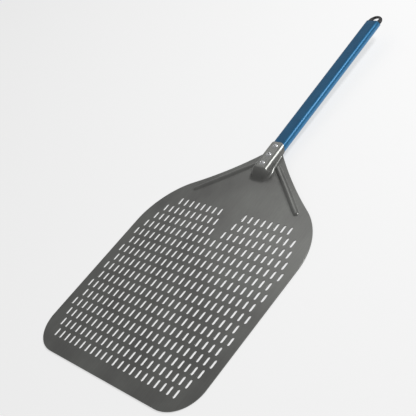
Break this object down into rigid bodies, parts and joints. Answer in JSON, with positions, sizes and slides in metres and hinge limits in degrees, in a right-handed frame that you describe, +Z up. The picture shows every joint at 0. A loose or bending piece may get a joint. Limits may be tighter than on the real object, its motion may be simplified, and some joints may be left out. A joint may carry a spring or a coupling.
{
  "type": "pizza peel",
  "caption": "Perforated aluminium pizza peel: a slotted pressed head riveted over a short flat-oval handle tube with a hanging loop.",
  "frame": {"origin": "middle of the peel's length and width, on the underside of the flat part of the head", "axes": "+X across the head, +Y from the front edge towards the hanging loop, +Z up from the underside, the side the rivet heads are on"},
  "size_m": [0.33, 0.7132, 0.0358],
  "materials": {
    "head_sheet": "hard anodised, dark grey satin",
    "handle": "anodised blue, satin",
    "rivet": "plain, bright",
    "mandrel": "plain, broken end",
    "cap": "moulded, slight sheen"
  },
  "bodies": {
    "root": {"blade": "head_sheet", "handle_tube": "handle", "rivet_body_front": "rivet", "rivet_body_middle": "rivet", "rivet_body_rear": "rivet", "rivet_mandrel_front": "mandrel", "rivet_mandrel_middle": "mandrel", "rivet_mandrel_rear": "mandrel", "end_cap": "cap"}
  },
  "joints": []
}
